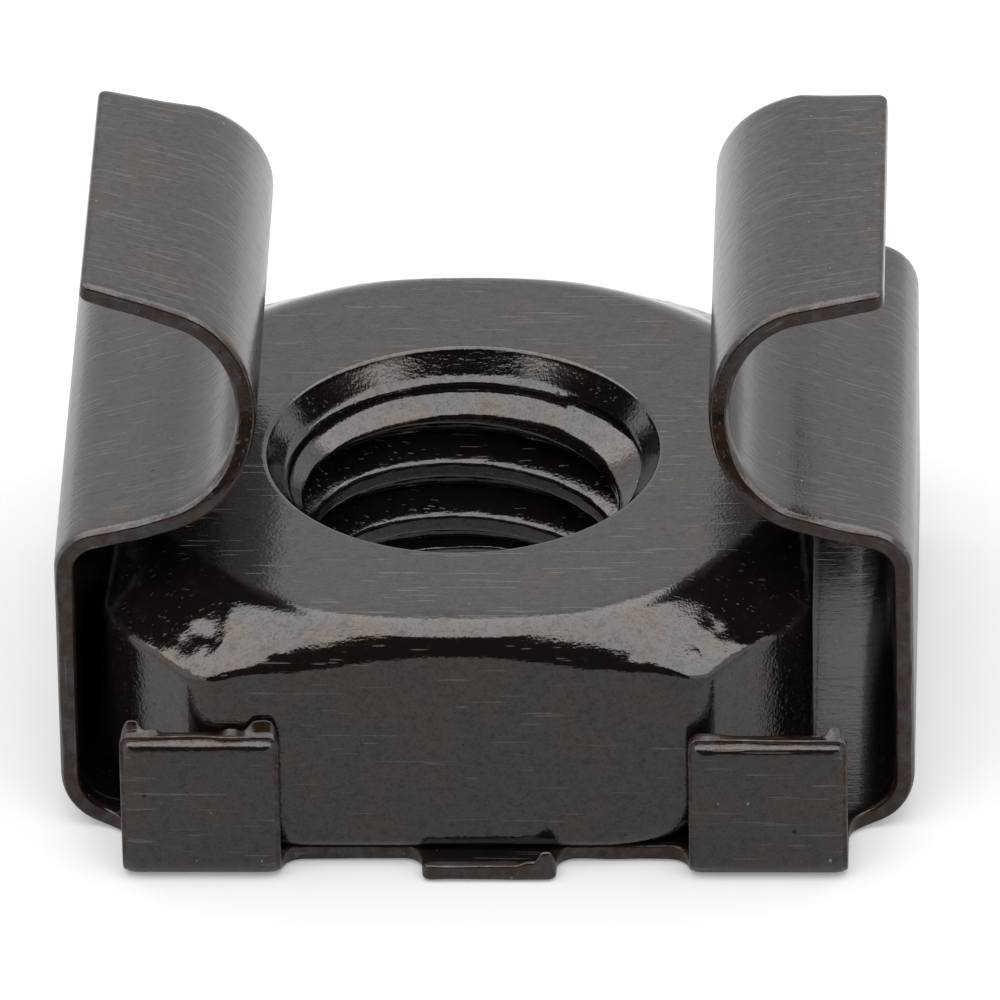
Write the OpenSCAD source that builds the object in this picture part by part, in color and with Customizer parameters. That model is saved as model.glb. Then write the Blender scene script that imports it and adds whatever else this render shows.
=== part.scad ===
// Rack cage nut: a square threaded nut held loose in a folded spring-sheet cage.
// The ears of the cage clip into the square hole of a rack rail.
// The base lies on the floor at z = 0, the ears stand up, and the thread runs along Z.

/* [Nut] */
// Width of the square nut across its flats
nut_w = 11.2; // [10.2:0.1:12.2]
// Height of the nut
nut_h = 4.05; // [3.4:0.05:5]
// Leg of the 45 degree bevel on each upright corner
nut_bevel = 1.7; // [1:0.1:2.4]
// Roll-over radius along the four top edges
nut_edge_r = 0.38; // [0.1:0.01:0.6]
// Roll-over radius along the four bottom edges
nut_foot_r = 0.3; // [0.1:0.05:0.6]
// Diameter of the flat top, where the cones on the corners start
nut_face_d = 10.9; // [10:0.1:11.6]
// Slope of the corner cones away from the flat top
nut_cone_slope = 31; // [20:1:40]
// Diameter of the flat foot, which has only small cones on its corners
nut_foot_d = 12.3; // [11.8:0.1:12.6]
// Slope of the corner cones away from the flat foot
nut_foot_slope = 45; // [30:1:50]

/* [Thread] */
// Nominal thread diameter
thread_d = 6; // [5:0.5:6]
// Thread pitch
thread_pitch = 1.0; // [0.8:0.05:1.1]
// Extra countersink width over the thread diameter
sink_over = 0.3; // [0.1:0.1:0.8]
// Full angle of the countersinks at both ends
sink_angle = 96; // [90:2:120]

/* [Sheet cage] */
// Thickness of the spring sheet
sheet_t = 0.33; // [0.25:0.01:0.45]
// Width of the strip that makes the walls
strip_w = 9.0; // [8:0.1:9.6]
// Outer radius of the bends between base and walls
wall_bend_r = 0.95; // [0.7:0.05:1.2]
// Outer radius of the shoulder bends at the top of the walls
shoulder_r = 0.75; // [0.55:0.05:0.9]
// Straight wall left above the top of the nut
wall_over = 0.34; // [0.2:0.02:1]
// Diameter of the screw's way out through the base
screw_hole_d = 7.0; // [6.6:0.1:7.6]

/* [Clip ears] */
// Side of the square rack hole that the ears clip into
rack_hole_w = 9.5; // [9.3:0.1:9.8]
// Play of each ear's throat inside the rack hole
hole_play = 0.88; // [0.6:0.02:1.1]
// Inside radius of the curl that takes the edge of the rail
curl_r = 1.36; // [1.1:0.02:1.4]
// Rise of the arm from the shoulder to the curl
arm_rise = 13.5; // [8:0.5:18]
// Rise of the lip on the left ear, which is bent up a little further
lip_rise_left = 18.5; // [10:0.5:24]
// Rise of the lip on the right ear
lip_rise_right = 11.5; // [10:0.5:24]
// Distance between the tips of the two lips
ear_span = 12.62; // [12:0.02:13]
// Width of an ear at its throat
throat_w = 7.24; // [6.6:0.02:7.8]
// Width of an ear at its tip
tip_w = 6.3; // [5.8:0.1:6.6]

/* [Base tabs] */
// Width of each of the four upturned tabs
tab_w = 2.5; // [2:0.1:2.8]
// Distance between the middles of two neighbouring tabs
tab_pitch = 8.92; // [8.4:0.02:9]
// Height of the tabs above the floor
tab_h = 2.62; // [2:0.02:3.2]
// Outer radius of the tab bends
tab_bend_r = 0.45; // [0.4:0.01:0.6]
// Distance from a tab's outer face back to the base edge beside it
base_inset = 0.62; // [0.55:0.01:0.8]
// Width of the cut-off stub in the middle of each base edge
stub_w = 2.12; // [1.6:0.02:2.6]
// How far the stubs stand off the middle of their base edge
stub_shift = 0.06; // [-0.3:0.02:0.3]
// Fillet radius where tabs and stubs leave the base edge
root_r = 0.34; // [0.2:0.02:0.4]
// Fillet radius where the base runs out into the walls
flare_r = 0.45; // [0.3:0.05:0.6]

/* [Fit] */
// Play between the nut and each side wall
side_play = 0.82; // [0.4:0.02:1]
// Play between the nut and the tabs at each end
end_play = 0.19; // [0.1:0.01:0.4]
// Where the loose nut lies across the cage, as a share of its play
nut_lean_x = -0.55; // [-0.9:0.05:0.9]
// Where the loose nut lies along the cage, as a share of its play
nut_lean_y = -0.75; // [-0.9:0.05:0.9]

/* [Hidden] */
$fn = 96;
// Overlap of a cutting tool past the face that it cuts
cut = 1;
// Largest angle between two neighbouring flats of a bend
BEND_STEP = 6;
// ISO metric thread: the bore is the nominal diameter less this share of the pitch
MINOR_SHARE = 1.0825;
bore_d = thread_d - MINOR_SHARE * thread_pitch;
sink_d = thread_d + sink_over;
sink_depth = (sink_d - bore_d) / 2 / tan(sink_angle / 2);
cage_w = nut_w + 2 * side_play + 2 * sheet_t;
cage_l = nut_w + 2 * end_play + 2 * sheet_t;
base_l = cage_l - 2 * base_inset;
neck_w = rack_hole_w - 2 * hole_play;
nut_x = nut_lean_x * side_play;
nut_y = nut_lean_y * end_play;
// Straight lengths of the folded strip, from the middle of the base to the curl
base_run = cage_w / 2 - wall_bend_r;
wall_top = sheet_t + nut_h + wall_over;
wall_run = wall_top - wall_bend_r;
curl_x = neck_w / 2 + curl_r;
arm_run = (cage_w / 2 - shoulder_r + (shoulder_r + curl_r) * sin(arm_rise) - curl_x) / cos(arm_rise);
curl_z = wall_top + (shoulder_r + curl_r) * cos(arm_rise) + arm_run * sin(arm_rise);
shoulder_z = wall_top + shoulder_r;
// Straight length of a lip that rises at the given angle
function lip_run(rise) = (ear_span / 2 - curl_x + curl_r * sin(rise)) / cos(rise);
// Height of that lip's tip
function tip_z(rise) = curl_z + (curl_r + sheet_t) * cos(rise) + lip_run(rise) * sin(rise);
// One half of the strip as [straight run, turn, bend radius], left turns positive
function half_strip(rise) = [
    [base_run, 90, wall_bend_r],
    [wall_run, 90 - arm_rise, shoulder_r],
    [arm_run, arm_rise + rise - 180, curl_r],
    [lip_run(rise), 0, 0],
];

// Unit vector at an angle in the plane of a section
function toward(angle) = [cos(angle), sin(angle)];

// Points along one face of a folded sheet, from its steps of run, turn and bend radius
// Depth is 0 for the outer face, on the right of the heading, and sheet_t for the inner one
function face_points(steps, depth, at = [0, 0], heading = 0, i = 0) =
    i == len(steps) ? [] :
    let (
        turn = steps[i][1],
        side = sign(turn),
        arc_r = steps[i][2] - side * depth,
        run_end = at + steps[i][0] * toward(heading),
        pivot = run_end + side * steps[i][2] * toward(heading + 90),
        facets = ceil(abs(turn) / BEND_STEP),
        face = turn == 0
            ? [run_end + depth * toward(heading + 90)]
            : [for (k = [0:facets]) pivot - side * arc_r * toward(heading + 90 + turn * k / facets)],
        next = pivot - side * steps[i][2] * toward(heading + 90 + turn)
    )
    concat(face, face_points(steps, depth, next, heading + turn, i + 1));

// The same points in the opposite order
function backward(points) = [for (i = [len(points) - 1:-1:0]) points[i]];

// The same points mirrored to the other side of the section
function flipped(points) = [for (p = points) [-p[0], p[1]]];

// Section of the whole strip: base, walls, shoulders, curls and lips
module strip_section() {
    right = half_strip(lip_rise_right);
    left = half_strip(lip_rise_left);
    polygon(concat(
        face_points(right, 0),
        backward(face_points(right, sheet_t)),
        flipped(face_points(left, sheet_t)),
        flipped(backward(face_points(left, 0)))
    ));
}

// Outline of the strip seen from the side: full width up the walls, then narrowing ears
module side_outline() {
    top_z = max(tip_z(lip_rise_left), tip_z(lip_rise_right));
    edge = [
        [0, -cut],
        [strip_w / 2, -cut],
        [strip_w / 2, shoulder_z],
        [throat_w / 2, curl_z],
        [tip_w / 2, top_z],
        [tip_w / 2, top_z + cut],
        [0, top_z + cut],
    ];
    polygon(edge);
    mirror([1, 0]) polygon(edge);
}

// Fillet that fills the corner between two edges that meet at the origin, in +X +Y
module corner_fillet(r) {
    difference() {
        square(r);
        translate([r, r]) circle(r = r);
    }
}

// One quarter of the base blank: base edge, the flare and the tab's root
module base_quarter() {
    tab_in = (tab_pitch - tab_w) / 2;
    tab_out = (tab_pitch + tab_w) / 2;
    square([tab_out, base_l / 2]);
    translate([tab_in, base_l / 2]) mirror([1, 0]) corner_fillet(root_r);
    translate([tab_in, 0]) square([tab_w, cage_l / 2 - tab_bend_r]);
    translate([tab_out, strip_w / 2]) corner_fillet(flare_r);
}

// Stub in the middle of the base edge at +Y, where the blank was cut from its strip
module stub() {
    translate([stub_shift, 0]) {
        translate([-stub_w / 2, 0]) square([stub_w, cage_l / 2]);
        for (side = [0, 1])
            mirror([side, 0]) translate([stub_w / 2, base_l / 2]) corner_fillet(root_r);
    }
}

// Base blank seen from above
module base_outline() {
    for (back = [0, 1])
        mirror([0, back]) {
            stub();
            for (side = [0, 1]) mirror([side, 0]) base_quarter();
        }
}

// Upturned tab at +Y, folded up from the base
module tab() {
    root = [cage_l / 2 - tab_bend_r - sheet_t, 0];
    steps = [[sheet_t, 90, tab_bend_r], [tab_h - tab_bend_r, 0, 0]];
    outer = face_points(steps, 0, root);
    inner = face_points(steps, sheet_t, root);
    translate([(tab_pitch - tab_w) / 2, 0, 0])
        rotate([90, 0, 90])
            linear_extrude(tab_w)
                polygon(concat([root], outer, backward(inner), [root + [0, sheet_t]]));
}

// Folded cage of black spring sheet
module cage() {
    color("#2b2a29")
        difference() {
            union() {
                intersection() {
                    rotate([90, 0, 0])
                        linear_extrude(2 * cage_l, center = true) strip_section();
                    union() {
                        rotate([90, 0, 90])
                            linear_extrude(2 * cage_w, center = true) side_outline();
                        translate([0, 0, -cut])
                            linear_extrude(cut + wall_bend_r) base_outline();
                    }
                }
                for (sx = [0, 1], sy = [0, 1])
                    mirror([sx, 0, 0]) mirror([0, sy, 0]) tab();
            }
            translate([0, 0, -cut]) cylinder(d = screw_hole_d, h = sheet_t + 2 * cut);
        }
}

// Plan of the nut: a square with bevelled upright corners
module nut_plan() {
    flat = nut_w / 2;
    end = flat - nut_bevel;
    polygon([
        [flat, -end], [flat, end], [end, flat], [-end, flat],
        [-flat, end], [-flat, -end], [-end, -flat], [end, -flat],
    ]);
}

// Side view of the nut, with its top and bottom edges rolled over
module nut_side() {
    half = nut_w / 2;
    top_x = half - nut_edge_r;
    foot_x = half - nut_foot_r;
    translate([-half, nut_foot_r]) square([nut_w, nut_h - nut_edge_r - nut_foot_r]);
    translate([-foot_x, 0]) square([2 * foot_x, nut_h / 2]);
    translate([-top_x, nut_h / 2]) square([2 * top_x, nut_h / 2]);
    for (side = [-1, 1]) {
        translate([side * foot_x, nut_foot_r]) circle(r = nut_foot_r);
        translate([side * top_x, nut_h - nut_edge_r]) circle(r = nut_edge_r);
    }
}

// Turned shape that trims the corners of the nut, most of all at its top
module corner_cones() {
    face_r = nut_face_d / 2;
    foot_r = nut_foot_d / 2;
    reach = norm([nut_w / 2, nut_w / 2 - nut_bevel]) + nut_edge_r;
    drop = (reach - face_r) * tan(nut_cone_slope);
    rise = (reach - foot_r) * tan(nut_foot_slope);
    rotate_extrude()
        polygon([
            [0, 0], [foot_r, 0], [reach, rise],
            [reach, nut_h - drop], [face_r, nut_h], [0, nut_h],
        ]);
}

// Threaded bore at the crest of the thread, with a countersink at both ends
module bore() {
    top_r = sink_d / 2;
    grow = cut * tan(sink_angle / 2);
    translate([0, 0, -cut]) cylinder(d = bore_d, h = nut_h + 2 * cut);
    translate([0, 0, -cut])
        cylinder(r1 = top_r + grow, r2 = bore_d / 2, h = sink_depth + cut);
    translate([0, 0, nut_h - sink_depth])
        cylinder(r1 = bore_d / 2, r2 = top_r + grow, h = sink_depth + cut);
}

// Square forged nut, lying loose on the base of the cage
module nut() {
    color("#343230")
        translate([nut_x, nut_y, sheet_t])
            difference() {
                intersection() {
                    linear_extrude(nut_h) nut_plan();
                    rotate([90, 0, 0]) linear_extrude(2 * nut_w, center = true) nut_side();
                    rotate([90, 0, 90]) linear_extrude(2 * nut_w, center = true) nut_side();
                    corner_cones();
                }
                bore();
            }
}

cage();
nut();
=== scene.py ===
"""Looks of a rack cage nut: a forged square nut lying loose in a folded spring-sheet cage.

The cage is one blank of sheet, cut with soft sheared edges and folded along its bends. The nut is
one ring of profiles, with its forged outside, its countersinks and its right-hand thread in one skin.
Lengths are in millimetres until a mesh is made, and angles are in degrees.
"""

import logging
import math
from dataclasses import dataclass, field
from enum import Enum, IntEnum

import bpy
import numpy as np
from mathutils import Matrix, Vector
from mathutils.geometry import delaunay_2d_cdt


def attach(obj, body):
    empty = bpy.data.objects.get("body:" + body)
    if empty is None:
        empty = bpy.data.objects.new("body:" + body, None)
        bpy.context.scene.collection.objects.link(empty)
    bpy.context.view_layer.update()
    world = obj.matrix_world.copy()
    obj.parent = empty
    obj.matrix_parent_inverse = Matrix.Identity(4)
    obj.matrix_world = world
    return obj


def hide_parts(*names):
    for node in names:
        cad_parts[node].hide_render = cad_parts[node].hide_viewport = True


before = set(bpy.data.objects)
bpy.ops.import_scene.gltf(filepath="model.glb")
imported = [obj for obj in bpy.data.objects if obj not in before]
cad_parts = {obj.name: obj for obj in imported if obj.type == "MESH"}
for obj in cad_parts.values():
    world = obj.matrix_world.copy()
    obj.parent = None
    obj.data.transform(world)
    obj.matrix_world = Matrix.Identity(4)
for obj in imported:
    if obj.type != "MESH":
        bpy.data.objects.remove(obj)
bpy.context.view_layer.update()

MM = 0.001
MICRON = 1e-6
FULL_TURN = 360.0
WHITE = (1.0, 1.0, 1.0, 1.0)
FRONT, REAR = -1, 1
# Size of the table of random values, and the keys that pick one of them for a cell
TABLE_SIZE = 4096
CELL_KEYS = np.array([73856093, 19349663, 83492791])
# Points round one corner of an outline, and parts that a long search is split into to save memory
CORNER_POINTS = 13
SEARCH_PARTS = 40
# Points that are closer than this become one when a flat shape is cut into triangles
MERGE_GAP = 1e-7
Piece = bpy.types.Object
Socket = bpy.types.NodeSocket
Tree = bpy.types.NodeTree
log = logging.getLogger("cage_nut")


# Numbers and fields


def to_linear(colour: str) -> tuple[float, float, float, float]:
    """Turn an sRGB hex colour into the linear colour that a shader takes.

    Args:
        colour: Six hex digits after a hash sign.

    Returns:
        Red, green, blue and alpha, each from 0 to 1.
    """
    channels = [int(colour[i : i + 2], 16) / 255 for i in (1, 3, 5)]
    linear = [c / 12.92 if c <= 0.04045 else ((c + 0.055) / 1.055) ** 2.4 for c in channels]
    return (*linear, 1.0)


def soft_field(points: np.ndarray, cell: float, seed: int) -> np.ndarray:
    """Smooth random field over space.

    Args:
        points: Rows of x, y and z in millimetres.
        cell: Size of one swell in millimetres.
        seed: Seed of the field.

    Returns:
        One value from -1 to 1 for each point.
    """
    table = np.random.default_rng(seed).uniform(-1.0, 1.0, TABLE_SIZE)
    grid = points / cell
    base = np.floor(grid).astype(np.int64)
    part = grid - base
    part = part * part * (3 - 2 * part)
    total = np.zeros(len(points))
    for corner in np.ndindex(2, 2, 2):
        weight = np.prod(np.where(corner, part, 1 - part), axis=1)
        key = (base + corner) @ CELL_KEYS
        total += weight * table[key % len(table)]
    return total


def ease(value: np.ndarray, start: float, end: float) -> np.ndarray:
    """Rise smoothly from 0 at start to 1 at end."""
    part = np.clip((value - start) / (end - start), 0.0, 1.0)
    return part * part * (3 - 2 * part)


def rounded_meet(a: np.ndarray, b: np.ndarray, radius: np.ndarray | float) -> np.ndarray:
    """Distance to the common part of two shapes, with the edge between them rounded.

    Args:
        a: Signed distance to the first shape, negative inside.
        b: Signed distance to the second shape, negative inside.
        radius: Radius of the rounding.

    Returns:
        Signed distance to what both shapes share.
    """
    outside = np.hypot(np.maximum(a + radius, 0.0), np.maximum(b + radius, 0.0))
    return np.minimum(np.maximum(a, b), -radius) + outside


def rolled_meet(a: np.ndarray, b: np.ndarray, across: np.ndarray, down: np.ndarray) -> np.ndarray:
    """Common part of two shapes with an elliptical roll between them.

    Args:
        a: Signed distance to the upright shape, negative inside.
        b: Signed distance to the level shape, negative inside.
        across: How far in from the upright shape the roll starts.
        down: How far below the level shape the roll ends.

    Returns:
        A value that is negative inside and 0 on the surface.
    """
    over = np.hypot(np.maximum(a / across + 1, 0.0), np.maximum(b / down + 1, 0.0)) - 1
    return np.maximum(np.maximum(a, b), over * np.minimum(across, down))


# Meshes


def make_piece(name: str, points: np.ndarray, faces: list[tuple[int, ...]]) -> Piece:
    """Make a smooth-shaded mesh object from points in millimetres.

    Args:
        name: Name of the piece.
        points: Rows of x, y and z in millimetres, in the row frame.
        faces: Lists of point numbers, counter-clockwise from outside.

    Returns:
        The new object, linked to the scene.
    """
    mesh = bpy.data.meshes.new(name)
    mesh.from_pydata((points * MM).tolist(), [], faces)
    mesh.validate()
    mesh.shade_smooth()
    piece = bpy.data.objects.new(name, mesh)
    bpy.context.collection.objects.link(piece)
    log.info("%s: %d points, %d faces", name, len(points), len(faces))
    return piece


def give_field(piece: Piece, name: str, values: np.ndarray) -> None:
    """Store one number, or one vector, on each point of a piece for its material to read.

    Args:
        piece: The mesh object.
        name: Name of the attribute.
        values: One number or one row of three for each point.
    """
    kind, key = ("FLOAT_VECTOR", "vector") if values.ndim == 2 else ("FLOAT", "value")
    store = piece.data.attributes.new(name, kind, "POINT")
    store.data.foreach_set(key, np.ascontiguousarray(values, dtype=np.float32).ravel())


def loop_quads(rows: int, columns: int, close_rows: bool) -> list[tuple[int, int, int, int]]:
    """Quads between rows of points, with each row closed on itself.

    Args:
        rows: Number of rows.
        columns: Points in each row.
        close_rows: Whether the last row joins the first.

    Returns:
        The quads as point numbers.
    """
    quads = []
    for row in range(rows if close_rows else rows - 1):
        below = row * columns
        above = (row + 1) % rows * columns
        for column in range(columns):
            beside = (column + 1) % columns
            quads.append((below + column, below + beside, above + beside, above + column))
    return quads


# Folded sheet


@dataclass(frozen=True)
class Fold:
    """A straight stretch of sheet and the bend at its end, left turns positive."""

    run: float
    turn: float
    radius: float


@dataclass(frozen=True)
class FoldedRun:
    """A run of folds in one plane, seen from the side."""

    folds: tuple[Fold, ...]
    thickness: float

    def stations(self) -> list[float]:
        """How far along the middle of the sheet each stretch and each bend ends.

        Returns:
            The ends, as Station names them.
        """
        ends = [0.0]
        for fold in self.folds:
            ends.append(ends[-1] + fold.run)
            side = math.copysign(1, fold.turn)
            bend = math.radians(abs(fold.turn)) * (fold.radius - side * self.thickness / 2)
            ends.append(ends[-1] + bend)
        return ends[1:]

    def place(self, along: np.ndarray, depth: np.ndarray) -> tuple[np.ndarray, np.ndarray]:
        """Fold points of the flat sheet into the plane of the run.

        Args:
            along: Distance along the middle of the sheet.
            depth: Depth into the sheet from its outer face.

        Returns:
            Distance across and height of each point.
        """
        across, height = np.zeros(len(along)), np.zeros(len(along))
        at, heading, start = np.zeros(2), 0.0, 0.0
        for fold in self.folds:
            ahead = np.array([math.cos(heading), math.sin(heading)])
            inward = np.array([-ahead[1], ahead[0]])
            here = along >= start
            step = along - start
            across[here] = (at[0] + step * ahead[0] + depth * inward[0])[here]
            height[here] = (at[1] + step * ahead[1] + depth * inward[1])[here]
            if not fold.turn:
                continue
            start += fold.run
            side = math.copysign(1, fold.turn)
            middle = fold.radius - side * self.thickness / 2
            pivot = at + fold.run * ahead + side * fold.radius * inward
            here = along >= start
            swing = heading + math.pi / 2 + side * (along - start) / middle
            arc = fold.radius - side * depth
            across[here] = (pivot[0] - side * arc * np.cos(swing))[here]
            height[here] = (pivot[1] - side * arc * np.sin(swing))[here]
            heading += math.radians(fold.turn)
            start += math.radians(abs(fold.turn)) * middle
            at = pivot - side * fold.radius * np.array([-math.sin(heading), math.cos(heading)])
        return across, height


def rounded_outline(corners: list[tuple[float, float, float]], spacing: float) -> np.ndarray:
    """Closed outline through corners, each rounded to its own radius, as evenly spaced points.

    Args:
        corners: Rows of x, y and radius, counter-clockwise. Radius 0 keeps the point as it is.
        spacing: Distance between the points.

    Returns:
        The points, without repeating the first.
    """
    path = []
    for i, (x, y, radius) in enumerate(corners):
        here = np.array([x, y])
        if radius == 0:
            path.append(here)
            continue
        before = np.array(corners[i - 1][:2]) - here
        after = np.array(corners[(i + 1) % len(corners)][:2]) - here
        before /= np.linalg.norm(before)
        after /= np.linalg.norm(after)
        half = math.acos(float(np.clip(before @ after, -1, 1))) / 2
        middle = before + after
        middle /= np.linalg.norm(middle)
        pivot = here + middle * radius / math.sin(half)
        first = here + before * radius / math.tan(half) - pivot
        last = here + after * radius / math.tan(half) - pivot
        for part in np.linspace(0, 1, CORNER_POINTS):
            swing = math.pi - 2 * half
            mix = math.sin((1 - part) * swing) * first + math.sin(part * swing) * last
            path.append(pivot + mix / math.sin(swing))
    path = np.array(path)
    gaps = np.linalg.norm(np.roll(path, -1, axis=0) - path, axis=1)
    reach = np.concatenate([[0], np.cumsum(gaps)])
    count = round(reach[-1] / spacing)
    wanted = np.arange(count) * reach[-1] / count
    ring = np.vstack([path, path[:1]])
    return np.column_stack([np.interp(wanted, reach, ring[:, k]) for k in (0, 1)])


def inward_normals(outline: np.ndarray) -> np.ndarray:
    """Unit normals on the left of a closed outline.

    Args:
        outline: The outline's points in order.

    Returns:
        One normal for each point.
    """
    along = np.roll(outline, -1, axis=0) - np.roll(outline, 1, axis=0)
    normals = np.column_stack([-along[:, 1], along[:, 0]])
    return normals / np.linalg.norm(normals, axis=1)[:, None]


def is_inside(points: np.ndarray, outline: np.ndarray) -> np.ndarray:
    """Whether each point lies inside a closed outline, by counting crossings.

    Args:
        points: Rows of x and y.
        outline: The outline's points in order.

    Returns:
        True for each point inside.
    """
    inside = np.zeros(len(points), dtype=bool)
    for (ax, ay), (bx, by) in zip(outline, np.roll(outline, -1, axis=0)):
        if ay == by:
            continue
        spans = (ay > points[:, 1]) != (by > points[:, 1])
        crossing = ax + (points[:, 1] - ay) / (by - ay) * (bx - ax)
        inside ^= spans & (points[:, 0] < crossing)
    return inside


def nearest_gap(points: np.ndarray, outline: np.ndarray) -> np.ndarray:
    """Distance from each point to the nearest point of an outline.

    Args:
        points: Rows of x and y.
        outline: The outline's points.

    Returns:
        One distance for each point.
    """
    gaps = []
    for part in np.array_split(points, SEARCH_PARTS):
        apart = part[:, None] - outline[None]
        gaps.append(np.min(np.hypot(*apart.T), axis=0))
    return np.concatenate(gaps)


class Side(Enum):
    """The two ears, as the sign of X."""

    LEFT = -1
    RIGHT = 1


class Station(IntEnum):
    """Places along a run of folds, as they stand in its list of stations."""

    FIRST_BEND_END = 1
    WALL_TOP = 2
    SHOULDER_END = 3
    ARM_END = 4
    CURL_END = 5
    TIP = 6


@dataclass(frozen=True)
class Burr:
    """A sliver raised by the shears on the inner edge of a tab's top, or of a stub's end.

    Places are on the flat blank, in millimetres: along it, across it, and the sliver's width and height.
    """

    along: float
    across: float
    width: float
    height: float
    # Whether the sliver stands across the sheet and not in line with it
    upright: bool = False


@dataclass(frozen=True)
class Twist:
    """How the rear of an ear stands differently from its front: lift of the curl and of the lip's tip."""

    curl: float
    tip: float


@dataclass
class SpringCage:
    """Folded cage of spring sheet: base, walls, shoulders, clip ears, tabs and stubs."""

    sheet: float = 0.33
    width: float = 13.5
    length: float = 12.24
    base_length: float = 11.0
    strip_width: float = 9.0
    wall_bend: float = 0.95
    wall_top: float = 4.72
    shoulder_bend: float = 0.75
    arm_rise: float = 13.5
    curl: float = 1.36
    neck: float = 7.74
    ear_span: float = 12.62
    lip_rise: dict[Side, float] = field(default_factory=lambda: {Side.LEFT: 18.5, Side.RIGHT: 11.5})
    throat_width: float = 7.24
    tip_width: float = 6.3
    tab_width: float = 2.5
    tab_pitch: float = 8.92
    tab_bend: float = 0.45
    stub_width: float = 2.12
    stub_shift: float = 0.06
    tab_height: dict[tuple[Side, int], float] = field(
        default_factory=lambda: {
            (Side.LEFT, FRONT): 2.62,
            (Side.RIGHT, FRONT): 2.56,
            (Side.LEFT, REAR): 2.6,
            (Side.RIGHT, REAR): 2.6,
        }
    )
    # Radii at the roots of the tabs and stubs, and on the outer corners
    root: float = 0.34
    stub_root_share: float = 0.9
    flare: float = 0.45
    stub_round: float = 0.15
    tab_round: float = 0.17
    tip_round: float = 0.16
    # How much shorter a stub is than the cage, and how far from a tip the edge is smooth
    stub_short: float = 0.01
    tip_clear: float = 0.3
    screw_hole: float = 7.0
    # Roll-over of the sheared edges, and how far in from an edge the flat faces start
    edge_round: float = 0.06
    edge_band: float = 0.09
    # Droop of the outer face towards a sheared edge: how deep, and how far in it starts
    droop: float = 0.035
    tab_droop: float = 0.13
    droop_reach: float = 0.26
    # Share of the outer face's droop that the inner face has
    inner_droop: float = 0.6
    # Heights on a tab, above the level of the base's end, between which its own droop comes in
    tab_droop_from: tuple[float, float] = (1.6, 2.0)
    # How much the droop wanders, and how wide one swell is
    wander: float = 0.35
    wander_cell: float = 0.5
    outline_step: float = 0.045
    # Spacing of the mesh: on the flat, in degrees round the ear's bends, and in rows on the tab
    flat_step: float = 0.24
    bend_step: float = 4.5
    tab_bend_rows: int = 14
    tab_flat_rows: int = 12
    # Rings inside the cut edge: place and least gap to the edge, both as shares of the edge band
    edge_rings: tuple[tuple[float, float], ...] = ((1.6, 1.5), (2.4, 2.3))
    # Least gap from the mesh's points to the cut edge, and to the rings beside it
    edge_gap: float = 0.05
    ring_gap: float = 0.045
    twist: dict[Side, Twist] = field(
        default_factory=lambda: {Side.LEFT: Twist(0.11, -0.09), Side.RIGHT: Twist(0.25, 0.0)}
    )
    # Share of the lip's slope by which its tip is cut out of square
    tip_shear: float = 0.5
    # Share of the depth over which a burr rises, and how far behind its cut it starts and is whole
    burr_depth: tuple[float, float] = (0.55, 0.95)
    burr_reach: tuple[float, float] = (0.13, 0.03)
    burrs: tuple[Burr, ...] = (
        Burr(-3.45, -8.29, 0.26, 0.24),
        Burr(-3.95, -8.29, 0.14, 0.08),
        Burr(-5.52, -8.29, 0.16, 0.24),
        Burr(-5.2, -8.29, 0.12, 0.07),
        Burr(5.52, -8.23, 0.13, 0.16),
        Burr(3.5, -8.23, 0.3, 0.05),
        Burr(0.98, -6.08, 0.15, 0.24, True),
        Burr(0.72, -6.08, 0.16, 0.06, True),
    )

    def run(self, side: Side) -> FoldedRun:
        """The folds from the middle of the base to the tip of one ear.

        Args:
            side: The ear's side.

        Returns:
            The folds through wall, shoulder, arm, curl and lip.
        """
        rise = self.lip_rise[side]
        slope, tilt = math.radians(self.arm_rise), math.radians(rise)
        curl_x = self.neck / 2 + self.curl
        bends = self.shoulder_bend + self.curl
        arm = self.width / 2 - self.shoulder_bend + bends * math.sin(slope) - curl_x
        lip = self.ear_span / 2 - curl_x + self.curl * math.sin(tilt)
        return FoldedRun(
            (
                Fold(self.width / 2 - self.wall_bend, 90, self.wall_bend),
                Fold(self.wall_top - self.wall_bend, 90 - self.arm_rise, self.shoulder_bend),
                Fold(arm / math.cos(slope), self.arm_rise + rise - 180, self.curl),
                Fold(lip / math.cos(tilt), 0, 0),
            ),
            self.sheet,
        )

    def tab_run(self) -> FoldedRun:
        """The folds from the middle of the base up into a tab."""
        upright = Fold(max(self.tab_height.values()), 0, 0)
        return FoldedRun((Fold(self.length / 2 - self.tab_bend, 90, self.tab_bend), upright), self.sheet)

    def ear_edge(self, side: Side) -> list[tuple[float, float]]:
        """The edge of the flat blank from the shoulder to the tip.

        Args:
            side: The ear's side.

        Returns:
            Rows of distance along and half width.
        """
        run = self.run(side)
        ends = run.stations()
        along = np.linspace(ends[Station.WALL_TOP], ends[Station.TIP], 60)
        height = run.place(along, np.full(len(along), self.sheet / 2))[1]
        shoulder_z = self.wall_top + self.shoulder_bend
        curl_middle = (ends[Station.ARM_END] + ends[Station.CURL_END]) / 2
        curl_z = float(run.place(np.array([curl_middle]), np.array([0.0]))[1][0])
        half = np.interp(
            height,
            [shoulder_z, curl_z, curl_z + self.curl + self.sheet],
            [self.strip_width / 2, self.throat_width / 2, self.tip_width / 2],
        )
        return list(zip(along, half))

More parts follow.
